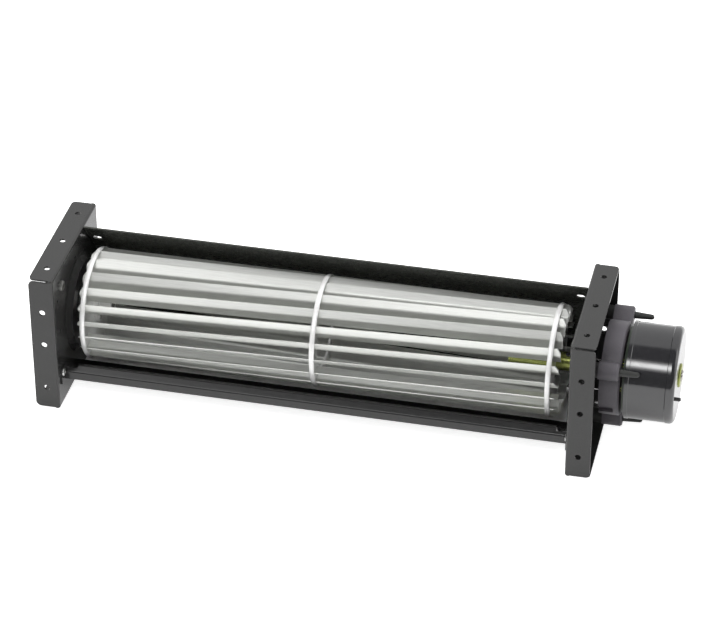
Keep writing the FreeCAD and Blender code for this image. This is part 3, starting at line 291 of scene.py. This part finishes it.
def makeSpecks():
    # sparse light specks, such as dust and small nicks, mixed over a colour
    group = bpy.data.node_groups.new("fineSpecks", "ShaderNodeTree")
    socket(group, "Vector", "INPUT", "Vector")
    socket(group, "Scale", "INPUT", "Float", 400.0)
    socket(group, "Size", "INPUT", "Float", 0.05)
    socket(group, "Amount", "INPUT", "Float", 0.3)
    socket(group, "Base", "INPUT", "Color")
    socket(group, "Speck", "INPUT", "Color")
    socket(group, "Colour", "OUTPUT", "Color")
    given = group.nodes.new("NodeGroupInput")
    result = group.nodes.new("NodeGroupOutput")
    cells = group.nodes.new("ShaderNodeTexVoronoi")
    group.links.new(given.outputs["Vector"], cells.inputs["Vector"])
    group.links.new(given.outputs["Scale"], cells.inputs["Scale"])
    dot = mathNode(group, "LESS_THAN", cells.outputs["Distance"], given.outputs["Size"])
    share = mathNode(group, "MULTIPLY", dot, given.outputs["Amount"])
    tint = group.nodes.new("ShaderNodeMix")
    tint.data_type = "RGBA"
    group.links.new(share, tint.inputs["Factor"])
    group.links.new(given.outputs["Base"], tint.inputs[6])
    group.links.new(given.outputs["Speck"], tint.inputs[7])
    group.links.new(tint.outputs[2], result.inputs["Colour"])
    return group


grainGroup = makeGrain()
speckGroup = makeSpecks()


def finish(name, look):
    # a finish from the shared effects; look holds its colours, gloss, grain and the shader's own settings
    material = bpy.data.materials.new(name)
    material.use_nodes = True
    tree = material.node_tree
    shader = tree.nodes["Principled BSDF"]
    place = tree.nodes.new("ShaderNodeTexCoord")
    grain = tree.nodes.new("ShaderNodeGroup")
    grain.node_tree = grainGroup
    tree.links.new(place.outputs["Object"], grain.inputs["Vector"])
    grain.inputs["Stretch"].default_value = look["stretch"]
    grain.inputs["Detail"].default_value = look.get("detail", 3.0)
    grain.inputs["Dark Colour"].default_value = (*look["dark"], 1.0)
    grain.inputs["Light Colour"].default_value = (*look["light"], 1.0)
    grain.inputs["Low Roughness"].default_value = look["roughness"][0]
    grain.inputs["High Roughness"].default_value = look["roughness"][1]
    grain.inputs["Depth"].default_value = look["depth"]
    colour = grain.outputs["Colour"]
    if "speck" in look:
        specks = tree.nodes.new("ShaderNodeGroup")
        specks.node_tree = speckGroup
        tree.links.new(place.outputs["Object"], specks.inputs["Vector"])
        tree.links.new(colour, specks.inputs["Base"])
        specks.inputs["Scale"].default_value = look["speck"]["scale"]
        specks.inputs["Size"].default_value = look["speck"]["size"]
        specks.inputs["Amount"].default_value = look["speck"]["amount"]
        specks.inputs["Speck"].default_value = (*look["speck"]["colour"], 1.0)
        colour = specks.outputs["Colour"]
    tree.links.new(colour, shader.inputs["Base Color"])
    tree.links.new(grain.outputs["Roughness"], shader.inputs["Roughness"])
    tree.links.new(grain.outputs["Normal"], shader.inputs["Normal"])
    for label, amount in look.get("shader", {}).items():
        shader.inputs[label].default_value = amount
    return material


# Stretch is the grain's noise cells to the metre along X, Y and Z, and depth is its bump in metres
looks = {
    "housingPaint": {
        "dark": (0.029, 0.029, 0.029), "light": (0.034, 0.034, 0.033), "roughness": (0.18, 0.24),
        "stretch": (1400, 1400, 1400), "depth": 0.000003,
        "speck": {"scale": 260.0, "size": 0.035, "amount": 0.18, "colour": (0.25, 0.25, 0.25)},
        "shader": {"Specular IOR Level": 0.5},
    },
    # rear wall: the same black sheet paint as the tongue, given a lighter colour as painted light for the
    # bounce light inside the housing
    "wallPaintPaintedLight": {
        "dark": (0.052, 0.055, 0.048), "light": (0.057, 0.060, 0.053), "roughness": (0.26, 0.29),
        "stretch": (300, 1400, 1400), "depth": 0.0000006,
        "speck": {"scale": 220.0, "size": 0.03, "amount": 0.18, "colour": (0.20, 0.20, 0.20)},
        "shader": {"Specular IOR Level": 0.5},
    },
    # tongue: the same black sheet paint as the rear wall, given a darker colour as painted shade on the lip
    "tonguePaintPaintedShade": {
        "dark": (0.010, 0.010, 0.010), "light": (0.013, 0.013, 0.013), "roughness": (0.16, 0.22),
        "stretch": (300, 1400, 1400), "depth": 0.000001,
        "speck": {"scale": 220.0, "size": 0.03, "amount": 0.18, "colour": (0.20, 0.20, 0.20)},
        "shader": {"Specular IOR Level": 0.6},
    },
    "bladeAluminium": {
        "dark": (0.77, 0.78, 0.75), "light": (0.88, 0.89, 0.86), "roughness": (0.42, 0.52),
        "stretch": (60, 2600, 2600), "depth": 0.000004,
        "shader": {"Metallic": 0.80},
    },
    "discAluminium": {
        "dark": (0.85, 0.85, 0.84), "light": (0.93, 0.93, 0.92), "roughness": (0.28, 0.36),
        "stretch": (900, 900, 900), "depth": 0.0000008,
        "shader": {"Metallic": 0.30},
    },
    "rivetMetal": {
        "dark": (0.55, 0.55, 0.55), "light": (0.74, 0.74, 0.73), "roughness": (0.18, 0.34),
        "stretch": (2600, 2600, 2600), "depth": 0.000008,
        "shader": {"Metallic": 1.0},
    },
    "zincSteel": {
        "dark": (0.50, 0.51, 0.50), "light": (0.68, 0.69, 0.67), "roughness": (0.22, 0.36),
        "stretch": (2000, 2000, 2000), "depth": 0.000006,
        "shader": {"Metallic": 1.0},
    },
    "dullZinc": {
        "dark": (0.17, 0.17, 0.16), "light": (0.27, 0.27, 0.26), "roughness": (0.34, 0.50),
        "stretch": (2000, 2000, 2000), "depth": 0.000008,
        "shader": {"Metallic": 1.0},
    },
    "shaftSteel": {
        "dark": (0.48, 0.47, 0.45), "light": (0.66, 0.65, 0.63), "roughness": (0.12, 0.24),
        "stretch": (6000, 900, 900), "depth": 0.000004,
        "shader": {"Metallic": 1.0},
    },
    "isolatorRubber": {
        "dark": (0.022, 0.023, 0.022), "light": (0.034, 0.035, 0.033), "roughness": (0.48, 0.62),
        "stretch": (1500, 1500, 1500), "depth": 0.000020,
        "speck": {"scale": 700.0, "size": 0.06, "amount": 0.35, "colour": (0.11, 0.11, 0.10)},
    },
    "sinteredBronze": {
        "dark": (0.42, 0.27, 0.13), "light": (0.60, 0.41, 0.22), "roughness": (0.38, 0.55),
        "stretch": (3500, 3500, 3500), "depth": 0.000030,
        "shader": {"Metallic": 1.0},
    },
    # brass with a dark olive base, so that mostly its highlights show: painted shade for the deep shadow
    # around the hub
    "turnedBrassPaintedShade": {
        "dark": (0.24, 0.27, 0.08), "light": (0.36, 0.39, 0.13), "roughness": (0.24, 0.36),
        "stretch": (9000, 700, 700), "depth": 0.000004,
        "shader": {"Metallic": 1.0},
    },
    "carrierPlastic": {
        "dark": (0.078, 0.072, 0.082), "light": (0.104, 0.097, 0.109), "roughness": (0.38, 0.50),
        "stretch": (2400, 2400, 2400), "depth": 0.000020, "detail": 5.0,
        "shader": {"Specular IOR Level": 0.5},
    },
    "tubeMetal": {
        "dark": (0.40, 0.40, 0.40), "light": (0.56, 0.56, 0.55), "roughness": (0.30, 0.44),
        "stretch": (900, 900, 900), "depth": 0.000015,
        "shader": {"Metallic": 1.0},
    },
    "coreSteel": {
        "dark": (0.16, 0.16, 0.17), "light": (0.36, 0.36, 0.36), "roughness": (0.36, 0.55),
        "stretch": (9000, 200, 200), "depth": 0.000030,
        "shader": {"Metallic": 0.8},
    },
    "coilCopper": {
        "dark": (0.46, 0.17, 0.06), "light": (0.72, 0.33, 0.13), "roughness": (0.18, 0.30),
        "stretch": (1500, 1500, 1500), "depth": 0.000008,
        "shader": {"Metallic": 0.85, "Coat Weight": 0.6},
    },
    "boardLaminate": {
        "dark": (0.010, 0.017, 0.009), "light": (0.016, 0.026, 0.014), "roughness": (0.34, 0.46),
        "stretch": (2500, 1200, 1200), "depth": 0.000008,
    },
    "magnetFerrite": {
        "dark": (0.030, 0.030, 0.032), "light": (0.060, 0.060, 0.062), "roughness": (0.55, 0.72),
        "stretch": (2500, 2500, 2500), "depth": 0.000030,
    },
    "canPaint": {
        "dark": (0.014, 0.014, 0.016), "light": (0.018, 0.018, 0.020), "roughness": (0.10, 0.14),
        "stretch": (500, 500, 500), "depth": 0.000003, "detail": 2.0,
        "shader": {"Specular IOR Level": 1.0},
    },
    "pinBlack": {
        "dark": (0.045, 0.045, 0.046), "light": (0.075, 0.075, 0.076), "roughness": (0.34, 0.48),
        "stretch": (2500, 2500, 2500), "depth": 0.000010,
        "shader": {"Metallic": 0.5},
    },
    "washerNylon": {
        "dark": (0.62, 0.60, 0.53), "light": (0.76, 0.74, 0.68), "roughness": (0.38, 0.50),
        "stretch": (2500, 2500, 2500), "depth": 0.000010,
        "shader": {"Subsurface Weight": 0.1},
    },
}
materials = {name: finish(name, look) for name, look in looks.items()}

nodeFinish = {
    "left_end_plate": "housingPaint",
    "right_end_plate": "housingPaint",
    "rear_wall": "wallPaintPaintedLight",
    "tongue": "tonguePaintPaintedShade",
    "sheet_rivets_left": "rivetMetal",
    "sheet_rivets_right": "rivetMetal",
    "earth_screw": "dullZinc",
    "earth_nut": "dullZinc",
    "bearing_rubber": "isolatorRubber",
    "left_bearing": "sinteredBronze",
    "motor_bracket": "carrierPlastic",
    "isolator_back": "isolatorRubber",
    "isolator_front": "isolatorRubber",
    "isolator_bottom": "isolatorRubber",
    "bearing_tube": "tubeMetal",
    "motor_bearing_inner": "shaftSteel",
    "motor_bearing_outer": "shaftSteel",
    "motor_screws": "zincSteel",
    "stator_core": "coreSteel",
    "stator_coils": "coilCopper",
    "circuit_board": "boardLaminate",
    "disc_left": "discAluminium",
    "disc_middle": "discAluminium",
    "disc_right": "discAluminium",
    "hub_left": "discAluminium",
    "hub_right": "turnedBrassPaintedShade",
    "hub_rivets_left": "rivetMetal",
    "hub_rivets_right": "rivetMetal",
    "grub_screw": "pinBlack",
    "stub_shaft": "shaftSteel",
    "thrust_washer": "washerNylon",
    "motor_shaft": "shaftSteel",
    "shaft_clip": "pinBlack",
    "rotor_can": "canPaint",
    "magnet_ring": "magnetFerrite",
    "can_boss": "turnedBrassPaintedShade",
    "balance_pin": "pinBlack",
}
for name, item in nodes.items():
    chosen = "bladeAluminium" if name.startswith("blade_") else nodeFinish[name]
    for slot in item.material_slots:
        slot.material = materials[chosen]
print("finishes on", len(nodes), "nodes")


# Detail pieces, placed from the boxes of the frame's nodes

mending = {"solidWeld": 0.001, "pieceWeld": 0.002, "sharpAngle": 35}  # mm, mm and degrees


def middleOf(name):
    low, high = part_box(name)
    return (Vector(low) + Vector(high)) / 2


drumAxis = middleOf("magnet_ring")


def looseParts(name):
    # lowest and highest corner of each solid in a node
    shape = bmesh.new()
    shape.from_mesh(nodes[name].data)
    bmesh.ops.remove_doubles(shape, verts=shape.verts, dist=mending["solidWeld"] * mm)
    unseen, found = set(shape.verts), []
    while unseen:
        waiting = [unseen.pop()]
        low, high = waiting[0].co.copy(), waiting[0].co.copy()
        while waiting:
            vert = waiting.pop()
            low = Vector(min(pair) for pair in zip(low, vert.co))
            high = Vector(max(pair) for pair in zip(high, vert.co))
            fresh = {edge.other_vert(vert) for edge in vert.link_edges} & unseen
            unseen -= fresh
            waiting += fresh
        found.append((low, high))
    shape.free()
    return sorted(found, key=lambda box: (round(box[0].y, 6), round(box[0].z, 6)))


def turnedForm(shape, outline, start, way, steps):
    # outline holds (distance, radius) in mm from a start on the form's axis, which runs along X
    verts = [shape.verts.new(start + Vector((way * far * mm, 0, radius * mm))) for far, radius in outline]
    edges = [shape.edges.new(pair) for pair in zip(verts, verts[1:])]
    bmesh.ops.spin(shape, geom=verts + edges, cent=start, axis=(1, 0, 0), angle=2 * math.pi,
                   steps=steps, use_merge=True)


def piece(name, shape, finishName, body):
    bmesh.ops.remove_doubles(shape, verts=shape.verts, dist=mending["pieceWeld"] * mm)
    bmesh.ops.recalc_face_normals(shape, faces=shape.faces)
    mesh = bpy.data.meshes.new(name)
    shape.to_mesh(mesh)
    shape.free()
    mesh.shade_smooth()
    mesh.set_sharp_from_angle(angle=math.radians(mending["sharpAngle"]))
    mesh.materials.append(materials[finishName])
    item = newObject(name, mesh)
    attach(item, body)
    return item


# Blind rivets: a domed head with the broken pin in it, and a bulged tail

blindRivet = {
    "headHeight": 0.9, "headShare": 0.85, "tailHeight": 1.2, "tailShare": 0.9, "shank": 1.2,
    "pinHole": 0.65, "pinDepth": 0.35, "pinFoot": 0.9, "rimDrop": 0.04, "rimShare": 1.15,
    "tailForm": ((0.0, 0.92), (0.3, 1.0), (0.7, 0.9)),  # shares of the tail's height and radius
    "tipLength": 0.08, "tipShare": 0.55, "domeSteps": 5, "turnSteps": 32,
}


def blindRivetOutline(radius, length):
    look = blindRivet
    start = math.asin(look["pinHole"] * look["rimShare"] / radius)
    dome = look["headHeight"] * look["headShare"]
    outline = [(look["pinDepth"], 0.0), (look["pinDepth"], look["pinHole"] * look["pinFoot"]),
               (look["rimDrop"], look["pinHole"])]
    for step in range(look["domeSteps"] + 1):
        turn = start + (math.pi / 2 - start) * step / look["domeSteps"]
        outline.append((dome * (1 - math.cos(turn)), radius * math.sin(turn)))
    tail, tailStart = radius * look["tailShare"], length - look["tailHeight"]
    return outline + [
        (look["headHeight"], radius), (look["headHeight"], look["shank"]), (tailStart, look["shank"]),
        *[(tailStart + look["tailHeight"] * far, tail * wide) for far, wide in look["tailForm"]],
        (length - look["tipLength"], tail * look["tipShare"]), (length, 0.0),
    ]


def makeSheetRivets():
    for side, way in (("left", -1), ("right", 1)):
        node = "sheet_rivets_" + side
        shape = bmesh.new()
        for low, high in looseParts(node):
            start = (low + high) / 2
            start.x = low.x if way > 0 else high.x
            turnedForm(shape, blindRivetOutline((high.y - low.y) / 2 / mm, (high.x - low.x) / mm),
                       start, way, blindRivet["turnSteps"])
        item = piece("sheetRivets_" + side, shape, "rivetMetal", "frame")
        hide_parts(node)


makeSheetRivets()


# Hub rivets: solid, with a domed head on the flange and a set head on the disc

hubRivet = {"headHeight": 0.7, "shank": 1.0, "domeSteps": 5, "turnSteps": 28}


def hubRivetOutline(radius, length):
    look = hubRivet
    dome = [(look["headHeight"] * (1 - math.cos(turn)), radius * math.sin(turn))
            for turn in [math.pi / 2 * step / look["domeSteps"] for step in range(look["domeSteps"] + 1)]]
    back = [(length - far, rise) for far, rise in reversed(dome)]
    return dome + [(look["headHeight"], look["shank"]), (length - look["headHeight"], look["shank"])] + back


def makeHubRivets():
    for side in ("left", "right"):
        node = "hub_rivets_" + side
        shape = bmesh.new()
        for low, high in looseParts(node):
            start = (low + high) / 2
            start.x = low.x
            turnedForm(shape, hubRivetOutline((high.y - low.y) / 2 / mm, (high.x - low.x) / mm), start, 1,
                       hubRivet["turnSteps"])
        item = piece("hubRivets_" + side, shape, "rivetMetal", "impeller")
        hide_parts(node)


makeHubRivets()


# Thread on the earthing screw

earthThread = {"pitch": 0.5, "depth": 0.1, "crest": 1.54, "halfWidth": 0.2, "stepsPerTurn": 20, "runout": 0.6}


def makeEarthThread():
    look = earthThread
    middle = middleOf("earth_screw")
    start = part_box("earth_screw")[0][0] + look["runout"] * mm
    length = (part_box("earth_nut")[0][0] - start) / mm
    turns = length / look["pitch"]
    shape = bmesh.new()
    foot, crest = look["crest"] - look["depth"], look["crest"]
    corners = [(-look["halfWidth"], foot), (0.0, crest), (look["halfWidth"], foot)]
    verts = [shape.verts.new((start + far * mm, middle.y, middle.z + radius * mm)) for far, radius in corners]
    edges = [shape.edges.new(pair) for pair in zip(verts, verts[1:])]
    steps = int(turns * look["stepsPerTurn"])
    bmesh.ops.spin(shape, geom=verts + edges, cent=middle, axis=(1, 0, 0), angle=2 * math.pi * turns,
                   steps=steps, dvec=(length * mm / steps, 0, 0))
    piece("earthThread", shape, "dullZinc", "frame")


makeEarthThread()


# Coil windings: one wire wound up each tooth, half sunk in the coil behind it

winding = {"wire": 0.52, "sink": 0.3, "corner": 1.3, "cornerSteps": 4, "coils": 9}


def windingPoints(halfX, halfY, low, high):
    rows = int((high - low) / winding["wire"])
    loop = []
    for turn, signX, signY in ((0, 1, 1), (90, -1, 1), (180, -1, -1), (270, 1, -1)):
        for step in range(winding["cornerSteps"]):
            angle = math.radians(turn + 90 * step / (winding["cornerSteps"] - 1))
            loop.append((signX * (halfX - winding["corner"]) + winding["corner"] * math.cos(angle),
                         signY * (halfY - winding["corner"]) + winding["corner"] * math.sin(angle)))
    total = rows * len(loop)
    first, climb = low + winding["wire"] / 2, high - low - winding["wire"]
    return [(*loop[i % len(loop)], first + climb * i / (total - 1)) for i in range(total)]


def makeWindings():
    low, high = max(looseParts("stator_coils"), key=lambda box: box[1].z)
    sink = winding["wire"] / 2 - winding["wire"] * winding["sink"]
    halfX, halfY = ((high[i] - low[i]) / 2 / mm - sink for i in (0, 1))
    points = windingPoints(halfX, halfY, (low.z - drumAxis.z) / mm, (high.z - drumAxis.z) / mm)
    curve = bpy.data.curves.new("coilWindings", "CURVE")
    curve.dimensions = "3D"
    curve.bevel_depth = winding["wire"] / 2 * mm
    curve.bevel_resolution = 1
    centreX = (low.x + high.x) / 2
    for number in range(winding["coils"]):
        turn = Matrix.Rotation(2 * math.pi * number / winding["coils"], 3, "X")
        line = curve.splines.new("POLY")
        line.points.add(len(points) - 1)
        for knot, (x, y, z) in zip(line.points, points):
            place = turn @ Vector((0, y * mm, z * mm))
            knot.co = (centreX + x * mm, drumAxis.y + place.y, drumAxis.z + place.z, 1.0)
    curve.materials.append(materials["coilCopper"])
    item = newObject("coilWindings", curve)
    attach(item, "frame")


makeWindings()


# Parts on the circuit board: chips with leads on the stator side, and pins through its edge

boardChips = {
    "list": [  # turn from the top, radius, length along the ring, width across it, height, leads a side
        (15, 18.2, 4.9, 3.9, 1.5, 4), (60, 18.2, 4.9, 3.9, 1.5, 4), (105, 18.0, 3.0, 1.6, 1.1, 3),
        (135, 18.6, 2.0, 1.2, 0.8, 1), (160, 18.2, 6.2, 4.2, 1.6, 7), (205, 18.0, 3.0, 1.6, 1.1, 3),
        (232, 18.8, 2.0, 1.2, 0.8, 1), (255, 18.2, 4.9, 3.9, 1.5, 4), (300, 18.0, 3.2, 2.4, 1.2, 1),
        (330, 18.6, 2.0, 1.2, 0.8, 1),
    ],
    "edge": 0.18, "standOff": 0.1, "leadWidth": 0.36, "leadSheet": 0.16, "leadReach": 0.7,
    "leadSink": 0.05, "leadEdge": 0.04, "legDepth": 0.2, "legShare": 0.5,
}
boardPins = {
    "turns": (44, 49, 53, 84, 88), "radius": 21.4, "pin": 0.32, "rise": 0.7, "sink": 0.05,
    "fillet": 0.75, "collarHeight": 0.2, "collarShare": 1.3, "collarEnd": 0.3,
    "tipHeight": 0.12, "tipShare": 0.6, "tipEnd": 0.15, "turnSteps": 16,
}


def addBlock(shape, low, high, place, edge=0.0):
    # a block in mm between two corners, moved by a matrix in metres, with bevelled edges
    made = bmesh.ops.create_cube(shape, size=1.0)["verts"]
    size = [b - a for a, b in zip(low, high)]
    centre = [(a + b) / 2 for a, b in zip(low, high)]
    for vert in made:
        vert.co = Vector([c + s * k for c, s, k in zip(centre, size, vert.co)]) * mm
    if edge:
        around = list({link for vert in made for link in vert.link_edges})
        made = bmesh.ops.bevel(shape, geom=around, offset=edge * mm, segments=2, profile=0.5,
                               affect="EDGES", material=-1)["verts"]
    bmesh.ops.transform(shape, matrix=place, verts=made)


def makeBoardParts():
    look = boardChips
    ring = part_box("circuit_board")
    chips, leads = bmesh.new(), bmesh.new()
    for turn, radius, length, width, height, count in look["list"]:
        place = (Matrix.Translation((ring[1][0], drumAxis.y, drumAxis.z))
                 @ Matrix.Rotation(math.radians(turn), 4, "X"))
        addBlock(chips, (look["standOff"], -length / 2, radius - width / 2),
                 (height, length / 2, radius + width / 2), place, look["edge"])
        for side in (-1, 1):
            for number in range(count):
                along = length * ((number + 0.5) / count - 0.5)
                near = radius + side * (width / 2 - look["leadSink"])
                foot = (radius + side * (width / 2 + look["leadReach"]), look["leadSheet"])
                leg = (near + side * look["legDepth"], height * look["legShare"])
                for far, rise in (foot, leg):
                    addBlock(leads, (0.0, along - look["leadWidth"] / 2, min(near, far)),
                             (rise, along + look["leadWidth"] / 2, max(near, far)), place, look["leadEdge"])
    piece("boardChips", chips, "pinBlack", "frame")
    piece("boardLeads", leads, "zincSteel", "frame")


def makeBoardPins():
    # soldered pins, whose ends stand out on the carrier's side of the board
    look = boardPins
    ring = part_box("circuit_board")
    shape = bmesh.new()
    for turn in look["turns"]:
        angle = math.radians(turn)
        start = Vector((ring[0][0] + look["sink"] * mm, drumAxis.y - look["radius"] * mm * math.sin(angle),
                        drumAxis.z + look["radius"] * mm * math.cos(angle)))
        turnedForm(shape, [(0.0, look["fillet"]), (look["collarHeight"], look["pin"] * look["collarShare"]),
                           (look["collarEnd"], look["pin"]), (look["rise"], look["pin"]),
                           (look["rise"] + look["tipHeight"], look["pin"] * look["tipShare"]),
                           (look["rise"] + look["tipEnd"], 0.0)], start, -1, look["turnSteps"])
    piece("boardPins", shape, "turnedBrassPaintedShade", "frame")


makeBoardParts()
makeBoardPins()
print("detail pieces made")
